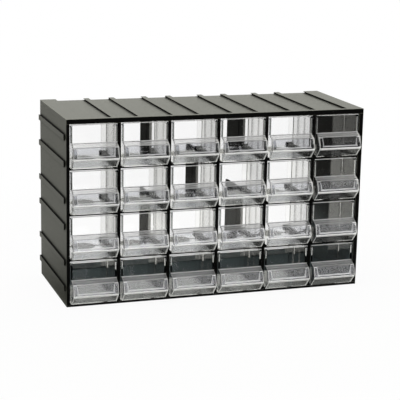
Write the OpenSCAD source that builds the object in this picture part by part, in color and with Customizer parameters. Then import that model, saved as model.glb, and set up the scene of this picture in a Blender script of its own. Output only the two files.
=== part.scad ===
// Parts bin cabinet: a stackable dark plastic housing, open at the back,
// that holds a grid of clear slide-out drawers.
// Cabinet coordinates: X to the right, Y to the back, Z up, from the front
// left bottom corner of the body. place() moves them to the part's own frame.

/* [Housing] */
// Width of the body
body_w = 382; // [350:1:440]
// Depth of the body, front face to back edge
body_d = 148; // [146:1:200]
// Height of the body without the keys under it
body_h = 230; // [210:1:280]
// Thickness of the left wall
left_t = 4; // [3:0.5:5]
// Thickness of the right wall, with its key channels
right_t = 5.5; // [4.5:0.5:7]
// Thickness of the top, with its key channels
top_t = 6; // [4.5:0.5:7]
// Thickness of the floor
bottom_t = 3; // [2.5:0.5:4]
// Height of the sill at the back of the floor
sill_h = 7.5; // [5:0.5:12]
// Thickness of the sill
sill_t = 2; // [1.5:0.5:3]

/* [Grid of drawers] */
// Number of columns
cols = 6; // [3:1:8]
// Number of rows
rows = 4; // [2:1:5]
// Width of a column post
post_w = 3; // [2.5:0.1:3.4]
// Depth of a column post
post_d = 10; // [9:0.5:14]
// How far a post reaches into the floor and the top
tenon_h = 1; // [0.6:0.1:1.4]
// How far a post's tenon stays inside its front and back face
tenon_in = 2; // [1:0.5:3]

/* [Shelf frames] */
// Distance from the front face to the back end of the rails
frame_l = 78; // [76:0.5:80]
// Height of a shelf rail
rail_h = 2.4; // [2:0.1:3]
// Width of the rail flange at each side of a post
flange_w = 4.5; // [4:0.1:5.5]
// Height of the crossbars and rest pads
bar_h = 1; // [0.8:0.1:1.2]
// Width of the crossbars, front to back
bar_w = 3; // [2:0.5:4]
// Height of the guide ribs between two drawers
guide_h = 4; // [3:0.5:5]
// Distance from the front face to the middle of the rest pads
pad_y = 56.5; // [50:0.5:58]
// Diameter of the round rest pad under the middle of a drawer
pad_dia = 28; // [20:1:30]
// Width of the rest pad at a post line
side_pad_w = 17; // [14:1:20]
// Depth of the grooves that hold a shelf frame in the side walls
groove_d = 1; // [0.6:0.1:1.4]
// Thickness of post material left in front of a shelf frame
post_skin = 1.6; // [1.2:0.1:2.4]

/* [Rear posts] */
// Thickness of a rear post
rear_post_t = 3; // [2:0.5:4]
// Length of the web between the back end of the rails and a rear post
web_l = 22; // [16:1:24]
// Thickness of the web
web_t = 2; // [1.5:0.1:3]
// Depth of a narrow rear post
narrow_d = 27; // [20:1:34]
// Depth of a wide rear post
wide_d = 44; // [34:1:46]
// Height of the keel under a rear post
keel_h = 16; // [10:1:24]

/* [Keys] */
// Number of key pairs across the width
keys_across = 5; // [3:1:5]
// Number of key pairs up the height
keys_up = 3; // [2:1:3]
// Height of a key
key_h = 2; // [1.6:0.1:2.4]
// Inner side of a key's foot, from the middle of its pair
key_in = 12.8; // [10:0.2:14]
// Width of a key's foot
key_w = 5.1; // [4.5:0.1:6]
// Overhang of a key's hook
hook_w = 1.5; // [1:0.1:2]
// Thickness of a key's hook
hook_t = 1; // [0.8:0.1:1.1]
// Width of the rib beside a channel
channel_rib_w = 5.3; // [4:0.1:7]
// Depth of the closed rim at the front of the channels
rim_d = 6; // [4:0.5:9]
// Clearance between a key and its channel
key_gap = 0.3; // [0.15:0.05:0.4]

/* [Drawers] */
// Clearance between a drawer body and the post line at each side
side_gap = 1.8; // [1.4:0.1:2.4]
// Wall thickness of a drawer
wall = 1.5; // [1.2:0.1:1.8]
// How far the front panel stands out at each side
front_lip = 0.6; // [0:0.1:0.8]
// Corner radius of the front panel
front_r = 0.6; // [0.3:0.1:3]
// How far the side walls end below the top of the front
side_drop = 3.2; // [3:0.1:6]
// Height of the upper edge of the bulging handle
handle_top = 30; // [27:0.5:34]
// Height of the upper edge of the label plate
plate_top = 26.2; // [24:0.2:27]
// Height of the ridge below the label plate
ridge_z = 11.4; // [9:0.2:14]
// How far the upper edge of the label plate stands out
plate_p = 7.3; // [5:0.1:9]
// How far the ridge stands out
ridge_p = 11.8; // [10:0.1:14]
// How far the bottom edge stands out
toe_p = 1; // [0:0.1:3]
// Fillet radius of the handle's edges
handle_r = 1.2; // [0.5:0.1:1.5]
// Fillet radius of the floor's back edge
heel_r = 2; // [1:0.1:4]

/* [Label frame] */
// Thickness of the label frame
frame_t = 0.8; // [0.6:0.1:1]
// Width of the slot behind the label frame
label_slot = 0.5; // [0.3:0.1:0.7]
// Width of the frame's side bands at their top
band_side = 4.6; // [3:0.1:6]
// Extra width of the side bands at their foot
band_taper = 1.2; // [0:0.1:2]
// Height of the frame's bottom band
band_foot = 2.2; // [1.4:0.1:4]
// Width of the rim that joins the frame to the plate
band_rim = 1.2; // [0.8:0.1:2]

/* [Divider slots] */
// Distance from the front face to the first slot
slot_y = 39; // [30:0.5:45]
// Distance from one slot to the next
slot_pitch = 18; // [15:0.5:22]
// Number of slots
slot_count = 1; // [1:1:2]
// Width of a slot
slot_w = 1.6; // [1.2:0.1:2]
// Thickness of a slot rib
slot_rib = 1.2; // [0.8:0.1:1.6]
// How far a slot rib stands out of the wall
slot_out = 1.1; // [0.8:0.1:1.6]

/* [Travel and fits] */
// Length of a drawer that stays in the housing when it is pulled out
kept_in = 20; // [15:0.5:30]
// Height of a stop tab
tab_h = 2.2; // [2:0.1:2.4]
// Distance from the front face to a stop tab
tab_y = 3; // [2.6:0.1:4]
// Depth of a stop tab
tab_d = 2; // [1.5:0.1:2.5]
// Height of a back stop
back_stop_h = 5; // [4:0.5:7]
// Depth of a back stop
back_stop_d = 2.5; // [2:0.1:3]
// Clearance between a guide rib and a drawer
guide_gap = 0.8; // [0.5:0.1:1]
// Clearance under a drawer, and between a drawer and its stops
run_gap = 0.3; // [0.2:0.05:0.5]
// Clearance above a drawer front
top_gap = 0.5; // [0.4:0.1:1]
// Clearance of the parts that are pushed together
fit = 0.1; // [0.05:0.01:0.15]

/* [Hidden] */
$fn = 48;
eps = 0.01;
arc_steps = 4;

// How far the handle and its label frame stand out of the front face
plate_tilt = atan2(ridge_p - plate_p, plate_top - ridge_z);
plate_len = norm([ridge_p - plate_p, plate_top - ridge_z]);
frame_out = label_slot + frame_t;
handle_p = ridge_p + frame_out * cos(plate_tilt) - handle_r * sin(plate_tilt);

// The grid
col_pitch = (body_w - left_t - right_t + post_w) / cols;
row_pitch = (body_h - top_t - bottom_t + rail_h) / rows;
cell_w = col_pitch - post_w;
cell_h = row_pitch - rail_h;
rear_post_y = frame_l + web_l;

// Drawer sizes that follow the grid
back_stop_y = frame_l - back_stop_d;
drawer_w = cell_w - 2 * side_gap;
drawer_l = back_stop_y - run_gap;
front_h = cell_h - run_gap - top_gap;
side_h = front_h - side_drop;
guide_out = side_gap - guide_gap;

// Travel, and the lug that ends it
travel = drawer_l - kept_in;
lug_top = front_h - run_gap;
lug_y = tab_y + tab_d + travel + run_gap;
lug_l = 6;
lug_w = 2;

// Keys and channels
key_foot_out = key_in + key_w;
key_tip = key_foot_out + hook_w;
lip_in = key_foot_out + key_gap;
undercut = key_tip + key_gap;
lip_t = key_h - hook_t - key_gap / 2;
channel_d = key_h + key_gap / 2;
channel_out = undercut + channel_rib_w;
key_pitch_x = body_w / keys_across;
key_pitch_z = body_h / keys_up;
key_start = rim_d + key_gap;

shell_color = "#3b3b38";
rail_color = "#2e2e2c";
clear_color = [0.86, 0.89, 0.92, 0.45];

function post_x(k) = left_t + k * col_pitch - post_w / 2;
function cell_x(c) = left_t + (c - 0.5) * col_pitch - post_w / 2;
function level_z(n) = bottom_t + n * row_pitch;
function row_z(r) = level_z(rows - r);

// Rear posts of row r, as [post line, depth]: staggered from row to row
function rear_posts(r) = r % 2 == 1
    ? [[round(cols / 3), narrow_d], [round(2 * cols / 3), wide_d]]
    : [[round(cols / 2), narrow_d]];
function has_rear_post(r, k) = len([for (post = rear_posts(r)) if (post[0] == k) k]) > 0;

// Shelf frames count from the bottom, rows and columns from the top left
function shelf_name(n) = str("shelf_frame_", n);
function post_name(k) = str("column_post_", k);
function rear_post_name(r, k) = str("rear_post_row", r, "_line", k);
function drawer_name(r, c) = str("drawer_row", r, "_col", c);

// ---------------------------------------------------------------- helpers

module place()
    translate([-(body_w - key_h) / 2, -(body_d - handle_p) / 2, key_h]) children();

// A shape drawn in X and Z, extruded from one Y to another
module along_y(from, to)
    translate([0, to, 0]) rotate([90, 0, 0]) linear_extrude(to - from) children();

// A shape drawn in Y and Z, extruded over a width centred on X
module along_x(width)
    rotate([90, 0, 90]) linear_extrude(width, center = true) children();

module block(low, high) translate(low) cube(high - low);

module rect(low, high) translate(low) square(high - low);

function unit(v) = v / norm(v);
function left_normal(a, b) = let (d = unit(b - a)) [-d[1], d[0]];
function mitre(a, b, c, t) =
    let (m = left_normal(a, b), n = left_normal(b, c)) b + t * (m + n) / (1 + m * n);

// An anticlockwise outline moved inwards by t
function inset(pts, t) = let (n = len(pts))
    [for (i = [0:n - 1]) mitre(pts[(i + n - 1) % n], pts[i], pts[(i + 1) % n], t)];

// The arc that rounds corner b between a and c
function corner_arc(a, b, c, r) = r == 0 ? [b] :
    let (m = left_normal(a, b),
         n = left_normal(b, c),
         turn = m[0] * n[1] - m[1] * n[0] > 0 ? 1 : -1,
         centre = mitre(a, b, c, turn * r),
         from = atan2(-turn * m[1], -turn * m[0]),
         sweep = acos(m * n))
    [for (i = [0:arc_steps]) centre
        + r * [cos(from + turn * sweep * i / arc_steps), sin(from + turn * sweep * i / arc_steps)]];

function filleted(pts, radii) = let (n = len(pts))
    [for (i = [0:n - 1])
        each corner_arc(pts[(i + n - 1) % n], pts[i], pts[(i + 1) % n], radii[i])];

// ------------------------------------------------------- keys and channels

// A pair of hooked keys that stand on the line v = 0
module key_pair_2d()
    for (side = [0, 1]) mirror([side, 0])
        polygon([
            [key_in, -eps], [key_foot_out, -eps], [key_foot_out, key_h - hook_t],
            [key_tip, key_h - hook_t], [key_tip, key_h], [key_in, key_h]]);

// The undercut channel that takes a pair of keys, cut down from v = 0
module channel_2d()
    for (side = [0, 1]) mirror([side, 0])
        polygon([
            [-eps, -eps], [lip_in, -eps], [lip_in, lip_t], [undercut, lip_t],
            [undercut, channel_d], [-eps, channel_d]]);

// Every channel along one wall, with the shallow recesses between them
module channels_2d(count, pitch) {
    for (i = [0:count - 1]) translate([(i + 0.5) * pitch, 0]) channel_2d();
    for (i = [1:count - 1]) translate([i * pitch, 0])
        rect([channel_out - pitch / 2, -eps], [pitch / 2 - channel_out, channel_d]);
}

module keys_2d(count, pitch)
    for (i = [0:count - 1]) translate([(i + 0.5) * pitch, 0]) key_pair_2d();

// ---------------------------------------------------------------- housing

// Grooves for the shelf frames, cut into a side wall
module shelf_grooves(from, to)
    for (n = [1:rows - 1])
        block([from, post_skin, level_z(n) - rail_h - fit],
              [to, frame_l + fit, level_z(n) + fit]);

// Pockets for the ends of the column posts
module post_pockets(z)
    for (k = [1:cols - 1])
        block([line_low(k) - fit, tenon_in - fit, z - tenon_h - fit],
              [line_high(k) + fit, post_d - tenon_in + fit, z + tenon_h + fit]);

// What stands on post line k reaches out past it, but not into a side wall.
// Lines 0 and cols are the inner faces of the side walls.
function line_low(k) = post_x(k) - post_w / 2;
function line_high(k) = post_x(k) + post_w / 2;
function reach_low(k, out) = k == 0 ? left_t + fit : line_low(k) - out;
function reach_high(k, out) = k == cols ? body_w - right_t - fit : line_high(k) + out;

// Low ribs that keep neighbouring drawers apart, and stops at their back end
module guides(z)
    for (k = [0:cols]) {
        block([reach_low(k, guide_out), post_d + fit, z - eps],
              [reach_high(k, guide_out), frame_l, z + guide_h]);
        block([reach_low(k, flange_w), back_stop_y, z - eps],
              [reach_high(k, flange_w), frame_l, z + back_stop_h]);
    }

// Tabs that hang at the right end of each cell and catch the lug of an open drawer
module stop_tabs(z)
    along_y(tab_y, tab_y + tab_d)
        for (k = [1:cols])
            rect([line_low(k) - flange_w, z - tab_h], [line_low(k) - fit, z + eps]);

module left_side()
    color(shell_color) difference() {
        union() {
            along_y(0, body_d) rect([0, bottom_t], [left_t, body_h - top_t]);
            along_y(key_start, body_d) rotate(90) keys_2d(keys_up, key_pitch_z);
        }
        shelf_grooves(left_t - groove_d, left_t + 1);
    }

module right_side()
    color(shell_color) difference() {
        along_y(0, body_d) rect([body_w - right_t, bottom_t], [body_w, body_h - top_t]);
        along_y(rim_d, body_d + 1)
            translate([body_w, 0]) rotate(90) channels_2d(keys_up, key_pitch_z);
        shelf_grooves(body_w - right_t - 1, body_w - right_t + groove_d);
    }

module top_panel()
    color(shell_color) {
        z = body_h - top_t;
        difference() {
            along_y(0, body_d) rect([0, z], [body_w, body_h]);
            along_y(rim_d, body_d + 1) translate([0, body_h]) mirror([0, 1])
                channels_2d(keys_across, key_pitch_x);
            post_pockets(z);
        }
        stop_tabs(z);
    }

module bottom_panel()
    color(shell_color) {
        difference() {
            along_y(0, body_d) rect([0, 0], [body_w, bottom_t]);
            post_pockets(bottom_t);
        }
        along_y(key_start, body_d) mirror([0, 1]) keys_2d(keys_across, key_pitch_x);
        block([left_t + fit, body_d - sill_t, bottom_t - eps],
              [body_w - right_t - fit, body_d, bottom_t + sill_h]);
        guides(bottom_t);
    }

// Upright bar between two columns, notched from behind for the shelf frames
module column_post(k)
    color(rail_color) difference() {
        union() {
            block([line_low(k), 0, bottom_t], [line_high(k), post_d, body_h - top_t]);
            block([line_low(k), tenon_in, bottom_t - tenon_h],
                  [line_high(k), post_d - tenon_in, body_h - top_t + tenon_h]);
        }
        for (n = [1:rows - 1])
            block([line_low(k) - 1, post_skin, level_z(n) - rail_h - fit],
                  [line_high(k) + 1, post_d + 1, level_z(n) + fit]);
    }

// Outline of a rest pad with round ends, seen from above
module pad_2d(x, width) {
    straight = (pad_dia - width) / 2;
    for (end = [-1, 1]) translate([x, pad_y + end * max(straight, 0)]) circle(d = width);
    if (straight > 0) rect([x - width / 2, pad_y - straight], [x + width / 2, pad_y + straight]);
}

// Thin rail from a post line back to a rear post, h high where the post is
module spine(z, post, h) {
    low = post_x(post[0]) - rear_post_t / 2;
    high = low + rear_post_t;
    rear = rear_post_y + post[1];
    block([low, frame_l - eps, z - rail_h], [high, rear, z]);
    block([low, rear_post_y, z - h], [high, rear, z]);
}

// Open frame that carries one row of drawers: a rail along every post line,
// crossbars at the front and middle, round rest pads on the middle one, and
// spines that the rear posts above and below it stand on and hold up
module shelf_frame(n) {
    z = level_z(n);
    low = left_t - groove_d + fit;
    high = body_w - right_t + groove_d - fit;
    front = post_skin + fit;
    r = rows - n;
    color(rail_color) {
        translate([0, 0, z - rail_h]) linear_extrude(rail_h)
            for (k = [0:cols])
                rect([k == 0 ? low : line_low(k) - flange_w, front],
                     [k == cols ? high : line_high(k) + flange_w, frame_l]);
        translate([0, 0, z - rail_h]) linear_extrude(bar_h)
            rect([low, front], [high, front + bar_w]);
        translate([0, 0, z - bar_h]) linear_extrude(bar_h) {
            rect([low, pad_y - bar_w / 2], [high, pad_y + bar_w / 2]);
            for (c = [1:cols]) pad_2d(cell_x(c), pad_dia);
            for (k = [1:cols - 1]) pad_2d(post_x(k), side_pad_w);
        }
        for (post = rear_posts(r))
            spine(z, post, has_rear_post(r + 1, post[0]) ? rail_h : keel_h);
        if (r + 1 < rows) for (post = rear_posts(r + 1)) spine(z, post, rail_h);
        guides(z);
        stop_tabs(z - rail_h);
    }
}

// Post with a thin web in front, which stands on one spine and holds up the
// next one, or the top
module rear_post(r, k, depth)
    color(rail_color) translate([post_x(k), 0, row_z(r)]) {
        block([-web_t / 2, frame_l, 0], [web_t / 2, rear_post_y + eps, cell_h]);
        block([-rear_post_t / 2, rear_post_y, 0], [rear_post_t / 2, rear_post_y + depth, cell_h]);
    }

// ---------------------------------------------------------------- drawers

// Side view of a drawer, anticlockwise from the toe, closed at height h
function drawer_outline(h) = [
    [-toe_p, 0], [drawer_l, 0], [drawer_l, h], [0, h],
    [0, handle_top], [-plate_p, plate_top], [-ridge_p, ridge_z]];

outline_radii = [0.4, heel_r, 0, 0, 0.6, handle_r, handle_r];
hollow_radii = [0, heel_r / 2, 0, 0, 0, 0, 0];

// Moves to the label plate: X across, Z up along it from the ridge, -Y outwards
module on_plate()
    translate([0, -ridge_p, ridge_z]) rotate([-plate_tilt, 0, 0]) children();

// Raised frame that holds a paper label against the plate, open at the top
module label_frame() {
    foot = handle_r;
    inner = drawer_w / 2 - band_side;
    on_plate() difference() {
        block([-drawer_w / 2, -frame_out, foot], [drawer_w / 2, eps, plate_len - foot / 2]);
        // window
        translate([0, eps - label_slot, 0]) rotate([90, 0, 0]) linear_extrude(frame_out)
            polygon([
                [band_taper - inner, foot + band_foot], [inner - band_taper, foot + band_foot],
                [inner, plate_len], [-inner, plate_len]]);
        // slot for the label
        block([band_rim - drawer_w / 2, -label_slot, foot + band_rim],
              [drawer_w / 2 - band_rim, 0, plate_len]);
    }
}

// Pairs of upright ribs on both side walls, each pair a slot for a divider
module divider_ribs()
    for (side = [0, 1]) mirror([side, 0, 0])
        for (i = [0:slot_count - 1]) for (edge = [-1, 1]) {
            middle = slot_y + i * slot_pitch + edge * (slot_w + slot_rib) / 2;
            block([drawer_w / 2 - wall - slot_out, middle - slot_rib / 2, wall - eps],
                  [drawer_w / 2 - wall + eps, middle + slot_rib / 2, side_h - wall]);
        }

// Lug on top of the right side wall that meets the stop tab
module stop_lug()
    translate([(drawer_w - lug_w) / 2, 0, 0]) along_x(lug_w)
        polygon([
            [lug_y, side_h - lug_w], [lug_y + lug_l, side_h - lug_w],
            [lug_y + lug_l, side_h], [lug_y + lug_l / 3, lug_top], [lug_y, lug_top]]);

module front_panel_2d() {
    half = drawer_w / 2 + front_lip;
    for (side = [-1, 1]) translate([side * (half - front_r), front_h - front_r]) circle(front_r);
    rect([front_r - half, handle_top], [half - front_r, front_h]);
    rect([-half, handle_top], [half, front_h - front_r]);
}

module drawer()
    color(clear_color) {
        difference() {
            union() {
                along_x(drawer_w) polygon(filleted(drawer_outline(side_h), outline_radii));
                along_y(0, wall) front_panel_2d();
            }
            along_x(drawer_w - 2 * wall)
                polygon(filleted(inset(drawer_outline(front_h * 2), wall), hollow_radii));
        }
        label_frame();
        divider_ribs();
        stop_lug();
    }

module drawer_at(r, c)
    translate([cell_x(c), 0, row_z(r) + run_gap]) drawer();

// ----------------------------------------------------------------- pieces

place() left_side();
place() right_side();
place() top_panel();
place() bottom_panel();
for (n = [1:rows - 1])
    place() shelf_frame(n);
for (k = [1:cols - 1])
    place() column_post(k);
for (r = [1:rows - 1]) for (post = rear_posts(r))
    place() rear_post(r, post[0], post[1]);
for (r = [1:rows]) for (c = [1:cols])
    place() drawer_at(r, c);
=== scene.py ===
# %% [markdown]
# # A small-parts cabinet with 24 clear drawers
#
# The real cabinet is a dark moulded housing, open at the back, with four rows of
# six clear drawers. Its shapes come from a CAD model that never moves. This lesson
# gives those shapes their soft moulded edges, their plastics, a studio and a camera.

# %% Load the CAD model
from math import cos, radians, sin

import bpy
from mathutils import Matrix, Vector


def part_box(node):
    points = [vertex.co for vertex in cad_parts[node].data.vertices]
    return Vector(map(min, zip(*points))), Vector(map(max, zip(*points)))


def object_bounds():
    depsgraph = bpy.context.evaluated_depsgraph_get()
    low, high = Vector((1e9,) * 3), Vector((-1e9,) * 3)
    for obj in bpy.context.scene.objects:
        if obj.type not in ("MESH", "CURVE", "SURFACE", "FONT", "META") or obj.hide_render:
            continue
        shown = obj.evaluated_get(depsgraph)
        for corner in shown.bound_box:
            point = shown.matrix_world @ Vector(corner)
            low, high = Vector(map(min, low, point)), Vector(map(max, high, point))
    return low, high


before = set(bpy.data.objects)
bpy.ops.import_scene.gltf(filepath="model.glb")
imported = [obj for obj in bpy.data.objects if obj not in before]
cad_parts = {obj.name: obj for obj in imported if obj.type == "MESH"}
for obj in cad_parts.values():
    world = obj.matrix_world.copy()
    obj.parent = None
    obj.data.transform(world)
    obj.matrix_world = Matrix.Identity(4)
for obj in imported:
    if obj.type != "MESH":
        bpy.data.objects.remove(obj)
cad_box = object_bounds()
MM = 0.001

# %% [markdown]
# ## The camera
#
# A long lens, a little above the cabinet and to its left. A constraint could aim it
# at a target, but here its turn is written out, so that every number can be seen. A
# camera looks along its own -Z, so three directions give the turn: right, up and
# backwards. The roll tips the picture slightly, as a hand-levelled tripod does.

# %% Camera
SENSOR = 36  # mm, width
LENS = 119.07  # mm
EYE = Vector((-529.85, -1559.91, 504.94)) * MM
YAW, PITCH, ROLL = radians(18.76), radians(13.52), radians(1.19)  # turned right, tipped down, rolled

forward = Vector((sin(YAW) * cos(PITCH), cos(YAW) * cos(PITCH), -sin(PITCH)))
level = Vector((cos(YAW), -sin(YAW), 0))
upright = level.cross(forward)
right = cos(ROLL) * level + sin(ROLL) * upright
up = cos(ROLL) * upright - sin(ROLL) * level

camera = bpy.data.objects.new("camera", bpy.data.cameras.new("camera"))
camera.data.lens = LENS
camera.data.sensor_width = SENSOR
camera.data.clip_end = 30  # m, past the far end of the floor
camera.matrix_world = Matrix.Translation(EYE) @ Matrix((right, up, -forward)).transposed().to_4x4()
bpy.context.scene.collection.objects.link(camera)
bpy.context.scene.camera = camera
print("camera looks along", tuple(round(x, 3) for x in forward))

# %% [markdown]
# ## Helpers
#
# Colours are written as the hex values that a screen shows, and Blender's shaders
# work with linear light, so one function turns the first into the second. Another
# adds a node to a node tree, with its settings, plain values and links.
#
# A third one is for things that look different through clear plastic than they do in
# a mirror. It says whether a ray came through clear walls without being mirrored.

# %% Helpers for colours and nodes
def linear(hex_code):
    """An sRGB hex colour as linear RGBA."""
    shares = [int(hex_code[i:i + 2], 16) / 255 for i in (1, 3, 5)]
    return [s / 12.92 if s <= 0.04045 else ((s + 0.055) / 1.055) ** 2.4 for s in shares] + [1]


def add_node(tree, kind, inputs=(), **settings):
    """A node of that kind. inputs maps a socket's name or number to a value, or to the output that feeds it."""
    made = tree.nodes.new(kind)
    for name, value in settings.items():
        setattr(made, name, value)
    for socket, value in dict(inputs).items():
        if isinstance(value, bpy.types.NodeSocket):
            tree.links.new(value, made.inputs[socket])
        else:
            made.inputs[socket].default_value = value
    return made


def new_material(name):
    """An empty material, and its node tree."""
    material = bpy.data.materials.new(name)
    material.use_nodes = True
    material.node_tree.nodes.clear()
    return material, material.node_tree


def add_see_through(tree):
    """A light path node, and an output that is 1 for rays that came through clear walls unmirrored."""
    ray = add_node(tree, "ShaderNodeLightPath")  # its Glossy Depth counts how often a ray was mirrored
    unmirrored = add_node(tree, "ShaderNodeMath", {0: ray.outputs["Glossy Depth"], 1: 0.5}, operation="LESS_THAN")
    through = add_node(tree, "ShaderNodeMath", {
        0: ray.outputs["Is Transmission Ray"], 1: unmirrored.outputs[0]}, operation="MULTIPLY")
    return ray, through.outputs[0]


print("mid grey is", [round(x, 3) for x in linear("#808080")])

# %% [markdown]
# ## The studio
#
# Clear plastic is best lit by a white sweep behind it, which shows through its
# walls. A dome of lamps could make one. A world shader is simpler and has no noise.
#
# Rays from the camera see plain white, and so do rays that went through clear walls
# without being mirrored on the way. All others see a room that is bright behind the
# cabinet, dark behind the camera and dimmer to the left. Mirrored in the plastic,
# the bright part greys the top of the housing, the dim part keeps its left side a
# step darker, and the dark part keeps its front black. The room's light is a little
# warm, which gives the dark plastic its olive sheen.

# %% World
ROOM_TONE = linear("#fffff7")  # the warm white of the room's walls and paper
ROOM_DIM = 0.03  # light from the room behind the camera, where 1 is white
LEFT_DIM = 0.45  # the share of the light that the left of the room keeps
DARK_Y, BRIGHT_Y = -0.3, 0.1  # parts of a direction towards the back, between which the room gets bright
DIM_X, FULL_X = -0.5, 0.1  # the same towards the right

world = bpy.data.worlds.new("studio")
bpy.context.scene.world = world
world.use_nodes = True
tree = world.node_tree
tree.nodes.clear()
direction = add_node(tree, "ShaderNodeTexCoord")
split = add_node(tree, "ShaderNodeSeparateXYZ", {0: direction.outputs["Generated"]})
sweep = add_node(tree, "ShaderNodeMapRange", {
    "Value": split.outputs["Y"], "From Min": DARK_Y, "From Max": BRIGHT_Y,
    "To Min": ROOM_DIM, "To Max": 1.0}, interpolation_type="SMOOTHSTEP")
aside = add_node(tree, "ShaderNodeMapRange", {
    "Value": split.outputs["X"], "From Min": DIM_X, "From Max": FULL_X,
    "To Min": LEFT_DIM, "To Max": 1.0}, interpolation_type="SMOOTHSTEP")
room = add_node(tree, "ShaderNodeMath", {0: sweep.outputs[0], 1: aside.outputs[0]}, operation="MULTIPLY")
print("the room's light goes from", ROOM_DIM, "to 1")

# %% What each ray sees
ray, through = add_see_through(tree)
seen = add_node(tree, "ShaderNodeMath", {0: ray.outputs["Is Camera Ray"], 1: through}, operation="MAXIMUM")
level_of_light = add_node(tree, "ShaderNodeMix", {
    0: seen.outputs[0], 2: room.outputs[0], 3: 1.0}, data_type="FLOAT")
tone = add_node(tree, "ShaderNodeMix", {0: seen.outputs[0], "A": ROOM_TONE, "B": (1, 1, 1, 1)}, data_type="RGBA")
background = add_node(tree, "ShaderNodeBackground", {
    "Color": tone.outputs[2], "Strength": level_of_light.outputs[0]})
add_node(tree, "ShaderNodeOutputWorld", {"Surface": background.outputs[0]})
print("the world is", len(tree.nodes), "nodes")

# %% [markdown]
# ## Lamps
#
# A wide softbox overhead and a weaker one at the left shape the housing. A third one
# stands in front, high up, where the sloping label plates mirror it: that pale sheen
# is what shows clear plastic against a dark inside. It also lights the drawers'
# bright edge lines.

# %% Softboxes
def add_softbox(name, place, target, size, watts):
    """A rectangular lamp that faces a point. Places and sizes are in metres."""
    lamp = bpy.data.objects.new(name, bpy.data.lights.new(name, "AREA"))
    lamp.data.shape = "RECTANGLE"
    lamp.data.size, lamp.data.size_y = size
    lamp.data.energy = watts
    lamp.location = place
    lamp.rotation_euler = (Vector(target) - Vector(place)).to_track_quat("-Z", "Y").to_euler()
    bpy.context.scene.collection.objects.link(lamp)


bpy.context.scene.view_settings.view_transform = "Standard"
middle = (cad_box[0] + cad_box[1]) / 2
add_softbox("top_softbox", (-0.2, 0.1, 1.5), middle, size=(1.4, 1.0), watts=11)
add_softbox("left_softbox", (-1.3, -0.5, 0.8), middle, size=(0.7, 1.0), watts=1.5)
add_softbox("front_softbox", (0.6, -1.72, 0.5), middle, size=(1.5, 0.42), watts=7.5)

# %% [markdown]
# ## The floor
#
# White paper. A plain white sheet would go grey in soft light, so most of what the
# camera sees of it is drawn as plain white, and the rest is real paper, which keeps
# the cabinet's soft shadow. The paper's share fades out away from the cabinet.
# Through clear walls it is white as well.
#
# Mirrored in the cabinet, the floor fades from the dark room in front to the bright
# sweep behind, as the world does. Two places on the dark part are lit. The handles of
# the lowest row mirror a strip right in front of the cabinet, so they look paler than
# what is around them. The windows of the row above mirror a patch half a metre in
# front, which draws a thin grey veil over the dark posts behind them. More lamps
# could light those places, but they would light the cabinet too.

# %% How much of the floor is plain white
FLOOR_GLOW = 0.95  # share of the floor near the cabinet that shows as plain white
PAPER_NEAR, PAPER_FAR = 0.3, 0.7  # m from the cabinet's middle, between which the real paper fades out

floor_paint, tree = new_material("white_paper_floor")
ray, through = add_see_through(tree)
place = add_node(tree, "ShaderNodeTexCoord")
away = add_node(tree, "ShaderNodeVectorMath", {0: place.outputs["Object"]}, operation="LENGTH")
plain = add_node(tree, "ShaderNodeMapRange", {
    "Value": away.outputs["Value"], "From Min": PAPER_NEAR, "From Max": PAPER_FAR,
    "To Min": FLOOR_GLOW, "To Max": 1.0}, interpolation_type="SMOOTHSTEP")
seen = add_node(tree, "ShaderNodeMath", {
    0: ray.outputs["Is Camera Ray"], 1: ray.outputs["Is Transmission Ray"]}, operation="MAXIMUM")
seen_share = add_node(tree, "ShaderNodeMath", {0: seen.outputs[0], 1: plain.outputs[0]}, operation="MULTIPLY")
share = add_node(tree, "ShaderNodeMath", {
    0: seen_share.outputs[0], 1: ray.outputs["Is Glossy Ray"]}, operation="MAXIMUM")
print("plain white near the cabinet:", FLOOR_GLOW)

# %% What the floor looks like in gloss and through clear walls
DARK_AT, BRIGHT_AT = -0.12, 0.3  # m, distances to the back, between which the mirrored floor gets bright
DIM_AT, FULL_AT = -0.3, 0.1  # m, the same to the right
STRIP_LIGHT, PATCH_LIGHT = 0.85, 1.1  # the light on the two lit places, where 1 is white
STRIP_FRONT, STRIP_BACK = -0.2, -0.05  # m, the strip in front of the cabinet fades out towards the front
STRIP_LEFT, STRIP_FULL = -0.2, -0.17  # m, the strip ends at the cabinet's left side
PATCH_MIDDLE, PATCH_HALF = -0.5, 0.1  # m, the patch's middle and half its depth
PATCH_FULL, PATCH_RIGHT = 0.2, 0.32  # m, the patch fades out towards the right

at = add_node(tree, "ShaderNodeSeparateXYZ", {0: place.outputs["Object"]})
ahead = add_node(tree, "ShaderNodeMapRange", {
    "Value": at.outputs["Y"], "From Min": DARK_AT, "From Max": BRIGHT_AT,
    "To Min": ROOM_DIM, "To Max": 1.0}, interpolation_type="SMOOTHSTEP")
aside = add_node(tree, "ShaderNodeMapRange", {
    "Value": at.outputs["X"], "From Min": DIM_AT, "From Max": FULL_AT,
    "To Min": LEFT_DIM, "To Max": 1.0}, interpolation_type="SMOOTHSTEP")
room = add_node(tree, "ShaderNodeMath", {0: ahead.outputs[0], 1: aside.outputs[0]}, operation="MULTIPLY")
strip_y = add_node(tree, "ShaderNodeMapRange", {
    "Value": at.outputs["Y"], "From Min": STRIP_FRONT, "From Max": STRIP_BACK, "To Min": 0.0, "To Max": STRIP_LIGHT})
strip_x = add_node(tree, "ShaderNodeMapRange", {
    "Value": at.outputs["X"], "From Min": STRIP_LEFT, "From Max": STRIP_FULL})
strip = add_node(tree, "ShaderNodeMath", {0: strip_y.outputs[0], 1: strip_x.outputs[0]}, operation="MULTIPLY")
patch_y = add_node(tree, "ShaderNodeMath", {0: at.outputs["Y"], 1: PATCH_MIDDLE, 2: PATCH_HALF}, operation="COMPARE")
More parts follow.
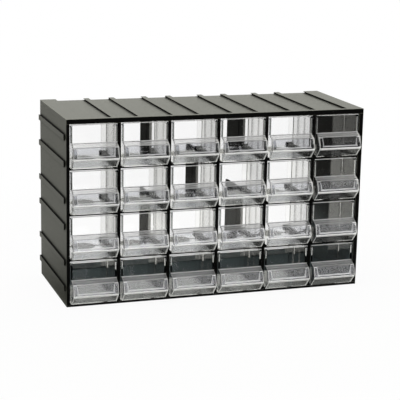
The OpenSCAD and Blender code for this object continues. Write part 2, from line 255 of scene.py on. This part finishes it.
patch_x = add_node(tree, "ShaderNodeMapRange", {
    "Value": at.outputs["X"], "From Min": PATCH_FULL, "From Max": PATCH_RIGHT, "To Min": PATCH_LIGHT, "To Max": 0.0})
patch = add_node(tree, "ShaderNodeMath", {0: patch_y.outputs[0], 1: patch_x.outputs[0]}, operation="MULTIPLY")
lit = add_node(tree, "ShaderNodeMath", {0: strip.outputs[0], 1: patch.outputs[0]}, operation="MAXIMUM")
mirrored = add_node(tree, "ShaderNodeMath", {0: room.outputs[0], 1: lit.outputs[0]}, operation="MAXIMUM")
in_gloss = add_node(tree, "ShaderNodeMix", {0: through, 2: mirrored.outputs[0], 3: 1.0}, data_type="FLOAT")
glow = add_node(tree, "ShaderNodeMix", {
    0: ray.outputs["Is Glossy Ray"], 2: 1.0, 3: in_gloss.outputs[0]}, data_type="FLOAT")
in_mirror = add_node(tree, "ShaderNodeMath", {
    0: ray.outputs["Is Glossy Ray"], 1: through}, operation="SUBTRACT", use_clamp=True)
tone = add_node(tree, "ShaderNodeMix", {0: in_mirror.outputs[0], "A": (1, 1, 1, 1), "B": ROOM_TONE}, data_type="RGBA")
print("floor shader so far:", len(tree.nodes), "nodes")

# %% Floor
HALF_FLOOR = 12  # m, half its width

paper = add_node(tree, "ShaderNodeBsdfDiffuse", {"Color": linear("#fafaf8"), "Roughness": 0.5})
white = add_node(tree, "ShaderNodeEmission", {"Color": tone.outputs[2], "Strength": glow.outputs[0]})
mixed = add_node(tree, "ShaderNodeMixShader", {0: share.outputs[0], 1: paper.outputs[0], 2: white.outputs[0]})
add_node(tree, "ShaderNodeOutputMaterial", {"Surface": mixed.outputs[0]})

floor_mesh = bpy.data.meshes.new("floor")
floor_mesh.from_pydata(
    [(x * HALF_FLOOR, y * HALF_FLOOR, 0) for x, y in ((-1, -1), (1, -1), (1, 1), (-1, 1))], [], [(0, 1, 2, 3)])
floor_mesh.materials.append(floor_paint)
floor = bpy.data.objects.new("floor", floor_mesh)
bpy.context.scene.collection.objects.link(floor)
print("floor is", 2 * HALF_FLOOR, "m wide")

# %% [markdown]
# ## Dark moulded plastic
#
# The housing is ABS, injection moulded in an eroded mould, so it is matt and very
# dark with a hint of olive. Nearly all that the eye gets from it is the blurred
# reflection of the sweep. The mould's grain breaks that up, and slow changes in
# colour follow the flow of the plastic.
#
# An image of such a grain could be wrapped around the pieces. Noise in object
# coordinates needs no unwrapping and has its size in millimetres, so it is used here.
#
# Where a key or a lip stands on a panel, light hardly reaches the corner. The ambient occlusion node finds such
# corners and paints shade there: the plastic is made dark and dull.
# On inner walls a paler colour near the floor, fading out upwards, is painted light thrown up from the floor.

# %% A recipe for ABS
GRAIN = 1.6  # mm. The real grain is about 0.1 mm, drawn this coarse so that it shows at all
FLOW = 90  # mm, width of the slow changes in colour
SHUT_IN, OPEN = 0.65, 0.93  # how open the surroundings are in a corner, and where the plastic looks as usual
# the colour and roughness of the painted shade in shut-in corners
PAINTED_CORNER_SHADE, CORNER_ROUGHNESS = "#060606", 0.95


def moulded_plastic(name, colours, roughness, specular=0.5, grain_depth=0.02, crevice=0, painted_bounce=None):
    """Matt ABS with the grain of its mould.

    grain_depth is in mm, and so is crevice, the width of a corner's painted shade. The last argument is the colour of
    painted light thrown up from the floor, then the two heights in mm between which it fades out to nothing.
    """
    material, tree = new_material(name)
    place = add_node(tree, "ShaderNodeTexCoord")
    grain = add_node(tree, "ShaderNodeTexNoise", {
        "Vector": place.outputs["Object"], "Scale": 1 / (GRAIN * MM), "Detail": 3.0, "Roughness": 0.6})
    flow = add_node(tree, "ShaderNodeTexNoise", {
        "Vector": place.outputs["Object"], "Scale": 1 / (FLOW * MM), "Detail": 2.0})
    tint = add_node(tree, "ShaderNodeMix", {
        0: flow.outputs["Fac"], "A": linear(colours[0]), "B": linear(colours[1])}, data_type="RGBA")
    shine = add_node(tree, "ShaderNodeMapRange", {
        "Value": grain.outputs["Fac"], "From Min": 0.25, "From Max": 0.75,  # nearly all of the noise lies there
        "To Min": roughness[0], "To Max": roughness[1]})
    relief = add_node(tree, "ShaderNodeBump", {
        "Height": grain.outputs["Fac"], "Strength": 1.0, "Distance": grain_depth * MM})
    # painted light: the colour gets paler towards the floor, which throws light on the walls
    if painted_bounce:
        colour, low, high = painted_bounce
        at = add_node(tree, "ShaderNodeSeparateXYZ", {0: place.outputs["Object"]})
        bounce_fade = add_node(tree, "ShaderNodeMapRange", {
            "Value": at.outputs["Z"], "From Min": low * MM, "From Max": high * MM}, interpolation_type="SMOOTHSTEP")
        tint = add_node(tree, "ShaderNodeMix", {
            0: bounce_fade.outputs[0], "A": linear(colour), "B": tint.outputs[2]}, data_type="RGBA")
    if crevice:
        # painted shade: where the occlusion finds a corner shut in, the plastic is made dark and dull
        around = add_node(tree, "ShaderNodeAmbientOcclusion", {"Distance": crevice * MM}, samples=8)
        open_air = add_node(tree, "ShaderNodeMapRange", {
            "Value": around.outputs["AO"], "From Min": SHUT_IN, "From Max": OPEN}, interpolation_type="SMOOTHSTEP")
        tint = add_node(tree, "ShaderNodeMix", {
            0: open_air.outputs[0], "A": linear(PAINTED_CORNER_SHADE), "B": tint.outputs[2]}, data_type="RGBA")
        shine = add_node(tree, "ShaderNodeMix", {
            0: open_air.outputs[0], 2: CORNER_ROUGHNESS, 3: shine.outputs[0]}, data_type="FLOAT")
    plastic = add_node(tree, "ShaderNodeBsdfPrincipled", {
        "Base Color": tint.outputs[2], "Roughness": shine.outputs[0], "IOR": 1.54,
        "Specular IOR Level": specular, "Normal": relief.outputs[0]})
    add_node(tree, "ShaderNodeOutputMaterial", {"Surface": plastic.outputs[0]})
    return material


print("grain", GRAIN, "mm, flow", FLOW, "mm")

# %% [markdown]
# One plastic, six finishes. The outer faces are grained. The front rims, the posts, the shelf frames and most inner
# faces come from a duller part of the mould, and because they get little light, their near-black colour is painted
# shade. The rounded edges get a smoother finish and a paler colour, which is a painted highlight.
# The inside of the floor panel and the low sill at its back are a cold grey, paler than the other inner faces, and are
# seen through the lowest drawers: that paler grey is painted light. The inner faces of the two side walls are black at
# the top and paler towards the floor, painted light thrown up from the floor, which greys the view through the lowest
# drawer at the right.

# %% ABS finishes
SMOOTH = 0.005  # mm, depth of the grain where the mould is polished
# near black: painted shade for faces that get little light
SHADE_BLACK = {"colours": ("#080808", "#0c0c0b"), "roughness": (0.62, 0.7), "specular": 0.05, "grain_depth": SMOOTH}

abs_housing = moulded_plastic("ABS_anthracite", ("#37382d", "#3d3e33"), (0.24, 0.44), 0.44, 0.03, crevice=5)
abs_inner = moulded_plastic("ABS_anthracite_inner", **SHADE_BLACK)
# the rounded edges' paler colour is a painted highlight
abs_edge = moulded_plastic("ABS_anthracite_edge_highlight", ("#66675a", "#6e6f62"), (0.22, 0.34), crevice=5)
# the sill's and the ground's paler greys are painted light
abs_sill = moulded_plastic("ABS_anthracite_sill", ("#505756", "#585f5e"), (0.55, 0.6), 0.2, SMOOTH)
abs_ground = moulded_plastic("ABS_anthracite_ground", ("#3b4345", "#424b4d"), (0.75, 0.8), 0.03, SMOOTH)
# paler towards the floor: painted light thrown up from the floor
abs_wall = moulded_plastic("ABS_anthracite_inner_wall", **SHADE_BLACK, painted_bounce=("#545c5d", 25, 110))
print("made", ", ".join(m.name for m in (abs_housing, abs_inner, abs_edge, abs_sill, abs_ground, abs_wall)))

# %% [markdown]
# ## Where things are on a drawer
#
# The drawers repeat on an even pitch, so one material can serve them all if it knows
# where it is on a drawer. Three lengths say so: how high above the drawer's floor,
# how far in front of the housing, and how far across from the drawer's middle.

# %% Drawer measures
COLS, ROWS = 6, 4
first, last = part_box(f"drawer_row{ROWS}_col1"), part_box(f"drawer_row1_col{COLS}")
COL_PITCH = (last[0][0] - first[0][0]) / (COLS - 1)
ROW_PITCH = (last[0][2] - first[0][2]) / (ROWS - 1)
LIP_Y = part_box("column_post_1")[0][1]  # the front face of the housing
CELL_X = (first[0][0] + first[1][0]) / 2  # the middle of the first column
LIP = 0.6  # mm by which the front is wider than the drawer's body on each side
HALF_W = (first[1][0] - first[0][0]) / 2 / MM - LIP  # mm, half a drawer's body
FRONT_H = (first[1][2] - first[0][2]) / MM  # mm, height of a drawer's front
INNER = HALF_W - 4.6  # mm, half the opening of the label frame at its top
TAPER = 1.2  # mm by which each arm of the label frame widens downwards
FRAME_FOOT, FRAME_TOP = 15.0, 26.0  # mm, heights of the opening in the label frame
RIDGE = 11.6  # mm, height of the ridge below the label plate
print("drawers repeat every", round(COL_PITCH / MM, 2), "by", round(ROW_PITCH / MM, 2), "mm, front", round(FRONT_H, 2))

# %% [markdown]
# ## Clear polystyrene
#
# General-purpose polystyrene, injection moulded in a polished mould: hard, glass
# clear and slightly wavy. Wherever a wall is seen on its edge, the plastic gathers
# light and draws a bright white line, and those lines are what the eye reads as the
# shape of a clear box.
#
# Light paths inside thin walls could draw the lines by themselves, but they would need many bounces and samples. Here
# they are painted highlights instead: each one is a block in the three lengths. One block is a broad faint band
# instead of a line, a painted sheen: the sloping top of the handle, which is seen so flatly that it looks milky.

# %% Bright lines, painted highlights
FAR = 99  # mm, further than any drawer reaches
ARM_STRENGTH = 0.5  # of the lines on the arms of the label frame, which are drawn later
LINES = {  # strength, then height, distance in front of the housing and distance from the middle, in mm
    "top_edge": (1, (FRONT_H - 0.8, FAR), (-3, 3), (0, FAR)),
    "handle_top": (1, (29.2, 30.5), (-0.6, 1.2), (0, FAR)),
    "handle_slope": (0.36, (26.6, 29.3), (0.8, 7.4), (0, FAR)),
    "plate_top": (0.8, (25.8, 26.7), (6.2, 9.8), (0, INNER)),
    "frame_arm_tops": (0.8, (25.3, 26.4), (7, FAR), (INNER, FAR)),
    "frame_foot": (0.5, (FRAME_FOOT - 0.5, FRAME_FOOT + 0.4), (9, FAR), (0, INNER)),
    "ridge": (1, (RIDGE - 1.3, RIDGE + 1.6), (10, FAR), (0, FAR)),
    "handle_ends": (0.6, (-1, 30.5), (0.5, FAR), (HALF_W - 0.9, FAR)),
}
print("lines:", ", ".join(LINES))

# %% The three lengths, in mm
SLACK = 0.2  # mm. Rows are counted from this far below a drawer's floor, so that the floor is in its own row

clear, tree = new_material("clear_polystyrene")
place = add_node(tree, "ShaderNodeTexCoord")
at = add_node(tree, "ShaderNodeSeparateXYZ", {0: place.outputs["Object"]})

from_floor = add_node(tree, "ShaderNodeMath", {
    0: at.outputs["Z"], 1: first[0][2] - SLACK * MM}, operation="SUBTRACT")
in_row = add_node(tree, "ShaderNodeMath", {0: from_floor.outputs[0], 1: ROW_PITCH}, operation="FLOORED_MODULO")
height = add_node(tree, "ShaderNodeMath", {0: in_row.outputs[0], 1: 1 / MM, 2: -SLACK}, operation="MULTIPLY_ADD")
out = add_node(tree, "ShaderNodeMath", {0: at.outputs["Y"], 1: -1 / MM, 2: LIP_Y / MM}, operation="MULTIPLY_ADD")
from_wall = add_node(tree, "ShaderNodeMath", {0: at.outputs["X"], 1: CELL_X - COL_PITCH / 2}, operation="SUBTRACT")
in_col = add_node(tree, "ShaderNodeMath", {0: from_wall.outputs[0], 1: COL_PITCH}, operation="FLOORED_MODULO")
off_middle = add_node(tree, "ShaderNodeMath", {
    0: in_col.outputs[0], 1: 1 / MM, 2: -COL_PITCH / 2 / MM}, operation="MULTIPLY_ADD")
across = add_node(tree, "ShaderNodeMath", {0: off_middle.outputs[0]}, operation="ABSOLUTE")
lengths = (height, out, across)


def zone(*spans):
    """1 inside the block that the spans of height, out and across give, and 0 outside."""
    inside = None
    for length, (low, high) in zip(lengths, spans):
        within = add_node(tree, "ShaderNodeMath", {
            0: length.outputs[0], 1: (low + high) / 2, 2: (high - low) / 2}, operation="COMPARE")
        if inside:
            within = add_node(tree, "ShaderNodeMath", {0: inside, 1: within.outputs[0]}, operation="MULTIPLY")
        inside = within.outputs[0]
    return inside


print("the", len(lengths), "lengths take", len(tree.nodes), "nodes")

# %% [markdown]
# The arms of the label frame lean outwards, so their lines aren't blocks. They lie
# where the distance across, less the lean, has one value. The flat ends of the
# handle stay clear, and only their rims are lines.

# %% Draw the lines
ARM_HALF = 0.4  # mm, half the width of a line on an arm
ARM_OUT = 8.2  # mm in front of the housing, where the arms stand out from the plate
SIDE_ON = 0.93  # how much of a face's normal points sideways on the flat ends of the handle

lean = add_node(tree, "ShaderNodeMath", {
    0: height.outputs[0], 1: -TAPER / (FRAME_TOP - FRAME_FOOT), 2: across.outputs[0]}, operation="MULTIPLY_ADD")
start = INNER - TAPER - TAPER * FRAME_FOOT / (FRAME_TOP - FRAME_FOOT)
arm_line = add_node(tree, "ShaderNodeMath", {0: lean.outputs[0], 1: start, 2: ARM_HALF}, operation="COMPARE")
arm_zone = zone((FRAME_FOOT, FRAME_TOP), (ARM_OUT, FAR), (0, FAR))
arms = add_node(tree, "ShaderNodeMath", {0: arm_line.outputs[0], 1: arm_zone}, operation="MULTIPLY")
line = add_node(tree, "ShaderNodeMath", {0: arms.outputs[0], 1: ARM_STRENGTH}, operation="MULTIPLY").outputs[0]
for strength, *spans in LINES.values():
    drawn = add_node(tree, "ShaderNodeMath", {0: zone(*spans), 1: strength}, operation="MULTIPLY")
    line = add_node(tree, "ShaderNodeMath", {0: line, 1: drawn.outputs[0]}, operation="MAXIMUM").outputs[0]

facing = add_node(tree, "ShaderNodeSeparateXYZ", {0: place.outputs["Normal"]})
sideways = add_node(tree, "ShaderNodeMath", {0: facing.outputs["X"]}, operation="ABSOLUTE")
not_end = add_node(tree, "ShaderNodeMath", {0: sideways.outputs[0], 1: SIDE_ON}, operation="LESS_THAN")
line = add_node(tree, "ShaderNodeMath", {0: line, 1: not_end.outputs[0]}, operation="MULTIPLY").outputs[0]
print("lines drawn:", len(LINES) + 1)

# %% [markdown]
# Three places are less clear than the rest. Fingers rub the face below the ridge dull. The label plate is pale grey,
# and its fine haze blurs the posts and bars behind it. The upright edges of the front are thick and look darker, and
# their grey tint is painted shade.
#
# The index of polystyrene is 1.59. A lower one is used here, because it bends less of
# the dark housing into the thin walls.

# %% Haze, tint and waves
grip = zone((-1, RIDGE - 1), (0.8, FAR), (0, FAR))
plate = zone((RIDGE + 1.2, FRAME_TOP), (5, FAR), (0, FAR))
jamb = zone((30, FAR), (-1.6, 1), (HALF_W - 1.6, FAR))
tint = linear("#ffffff")
# the jamb's grey tint is painted shade
for where, colour in ((plate, "#cfd0d3"), (jamb, "#94979a"), (grip, "#b8babc")):
    tint = add_node(tree, "ShaderNodeMix", {0: where, "A": tint, "B": linear(colour)}, data_type="RGBA").outputs[2]

WAVE, SCUFF = 14, 3  # mm, widths of the mould's waves and of the fine scuffs
WAVE_HEIGHT = 0.2  # mm
POLISHED, SCUFFED = 0.012, 0.02  # roughness
GRIP_HAZE, PLATE_HAZE = 0.1, 0.08  # added roughness
waves = add_node(tree, "ShaderNodeTexNoise", {
    "Vector": place.outputs["Object"], "Scale": 1 / (WAVE * MM), "Detail": 1.0})
relief = add_node(tree, "ShaderNodeBump", {
    "Height": waves.outputs["Fac"], "Strength": 0.05, "Distance": WAVE_HEIGHT * MM})
scuffs = add_node(tree, "ShaderNodeTexNoise", {
    "Vector": place.outputs["Object"], "Scale": 1 / (SCUFF * MM), "Detail": 4.0})
polish = add_node(tree, "ShaderNodeMapRange", {
    "Value": scuffs.outputs["Fac"], "From Min": 0.3, "From Max": 0.7, "To Min": POLISHED, "To Max": SCUFFED})
rough = add_node(tree, "ShaderNodeMath", {0: grip, 1: GRIP_HAZE, 2: polish.outputs[0]}, operation="MULTIPLY_ADD")
rough = add_node(tree, "ShaderNodeMath", {0: plate, 1: PLATE_HAZE, 2: rough.outputs[0]}, operation="MULTIPLY_ADD")
print("waves", WAVE, "mm, scuffs", SCUFF, "mm")

# %% [markdown]
# The clear part is one glass-like shader. A line is a painted highlight of white shaders: part glow-through, part
# chalk, part soft gloss. Lamps shine through the walls, and light that has been thrown about inside a wall for long
# goes straight on. Without that last rule it would be lost, and thin walls would turn black.

# %% Clear polystyrene
CHALK, GLOSS = 0.5, 0.3  # shares in a line: of chalk in its matt part, and of gloss in the whole
LONG_WAY = 5.5  # bounces, after which light goes straight on

glass = add_node(tree, "ShaderNodeBsdfPrincipled", {
    "Base Color": tint, "Roughness": rough.outputs[0], "IOR": 1.33, "Transmission Weight": 1.0,
    "Normal": relief.outputs[0]})
milky = add_node(tree, "ShaderNodeBsdfTranslucent", {"Color": linear("#ffffff")})
chalky = add_node(tree, "ShaderNodeBsdfDiffuse", {"Color": linear("#ffffff")})
glossy = add_node(tree, "ShaderNodeBsdfAnisotropic", {"Color": linear("#ffffff"), "Roughness": 0.35})
matt = add_node(tree, "ShaderNodeMixShader", {0: CHALK, 1: milky.outputs[0], 2: chalky.outputs[0]})
white = add_node(tree, "ShaderNodeMixShader", {0: GLOSS, 1: matt.outputs[0], 2: glossy.outputs[0]})
# the painted highlight lines are mixed over the clear plastic
body = add_node(tree, "ShaderNodeMixShader", {0: line, 1: glass.outputs[0], 2: white.outputs[0]})

ray = add_node(tree, "ShaderNodeLightPath")
deep = add_node(tree, "ShaderNodeMath", {0: ray.outputs["Ray Depth"], 1: LONG_WAY}, operation="GREATER_THAN")
straight = add_node(tree, "ShaderNodeMath", {0: ray.outputs["Is Shadow Ray"], 1: deep.outputs[0]}, operation="MAXIMUM")
window = add_node(tree, "ShaderNodeBsdfTransparent", {"Color": linear("#f8f8f8")})
passed = add_node(tree, "ShaderNodeMixShader", {0: straight.outputs[0], 1: body.outputs[0], 2: window.outputs[0]})
add_node(tree, "ShaderNodeOutputMaterial", {"Surface": passed.outputs[0]})
print("made", clear.name, "with", len(tree.nodes), "nodes")

# %% [markdown]
# ## Finish the CAD pieces
#
# CAD edges are sharp, and a moulding's are not. The rounding could be modelled by
# hand, but a bevel modifier does all pieces alike and leaves the CAD mesh as it is.
# Before it, the triangles of the CAD mesh are joined to whole faces, or the bevel
# would cut across them. Last, weighted normals keep the large faces flat: without
# them the light in a clear wall goes astray and the drawer turns murky.

# %% Soft edges
WELD = 0.002  # mm, points nearer than this are one
DRAWER_EDGE, HOUSING_EDGE = 0.4, 0.3  # mm, widths of the rounding


def soften(piece, width_mm):
    """Joins the faces of a CAD piece and rounds its sharp edges."""
    weld = piece.modifiers.new("weld", "WELD")
    weld.merge_threshold = WELD * MM
    flat = piece.modifiers.new("flat_faces", "DECIMATE")
    flat.decimate_type = "DISSOLVE"
    flat.angle_limit = radians(0.5)
    bevel = piece.modifiers.new("edge_rounding", "BEVEL")
    bevel.width = width_mm * MM
    bevel.segments = 2
    bevel.limit_method = "ANGLE"
    bevel.angle_limit = radians(40)
    smooth = piece.modifiers.new("flat_shading", "WEIGHTED_NORMAL")
    smooth.mode = "FACE_AREA"
    smooth.keep_sharp = False


for name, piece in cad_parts.items():
    soften(piece, DRAWER_EDGE if name.startswith("drawer") else HOUSING_EDGE)
print("rounded the edges of", len(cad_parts), "pieces")

# %% [markdown]
# Drawers are clear, and posts and shelf frames are black, a painted shade. Each of the four panels of the housing has
# all six finishes in its slots, and a face gets its finish by where it looks. Outer faces are grained. The front rim
# and the flanks of keys and channels are black, painted shade, and so is the inside of the top. The insides of the
# walls and of the floor get their finishes with painted light, and the rounded edges get the one with a painted
# highlight.

# %% Finishes
INNER_SLOT, EDGE_SLOT, SILL_SLOT, GROUND_SLOT, WALL_SLOT = 1, 2, 3, 4, 5
INSIDE = {"left_side": (1, 0, 0), "right_side": (-1, 0, 0), "top_panel": (0, 0, -1), "bottom_panel": (0, 0, 1)}
SILL_Y = cad_box[1][1] - 4 * MM  # the sill at the back of the floor lies behind this
FACING = 0.9  # how much of a face's normal has to point one way, from 0 to 1
NEAR = 2 * MM  # faces this close to a panel's front or end belong to it

for name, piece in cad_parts.items():
    for slot in piece.material_slots:
        slot.material = clear if name.startswith("drawer") else abs_housing if name in INSIDE else abs_inner

for name, inward in INSIDE.items():
    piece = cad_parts[name]
    for finish in (abs_inner, abs_edge, abs_sill, abs_ground, abs_wall):
        piece.data.materials.append(finish)
    piece.modifiers["edge_rounding"].material = EDGE_SLOT
    along = 2 if name.endswith("side") else 0  # the axis across the keys or channels
    low, high = (corner[along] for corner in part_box(name))
    for face in piece.data.polygons:
        is_front = face.normal.y < -FACING and face.center.y < LIP_Y + NEAR
        is_flank = abs(face.normal[along]) > FACING and low + NEAR < face.center[along] < high - NEAR
        if face.normal.dot(Vector(inward)) > FACING:
            face.material_index = GROUND_SLOT if name == "bottom_panel" else WALL_SLOT if along == 2 else INNER_SLOT
        elif is_front or is_flank:
            face.material_index = INNER_SLOT
        elif name == "bottom_panel" and face.normal.y < -FACING and face.center.y > SILL_Y:
            face.material_index = SILL_SLOT
print("finished", len(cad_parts), "pieces,", len(INSIDE), "of them with several finishes")
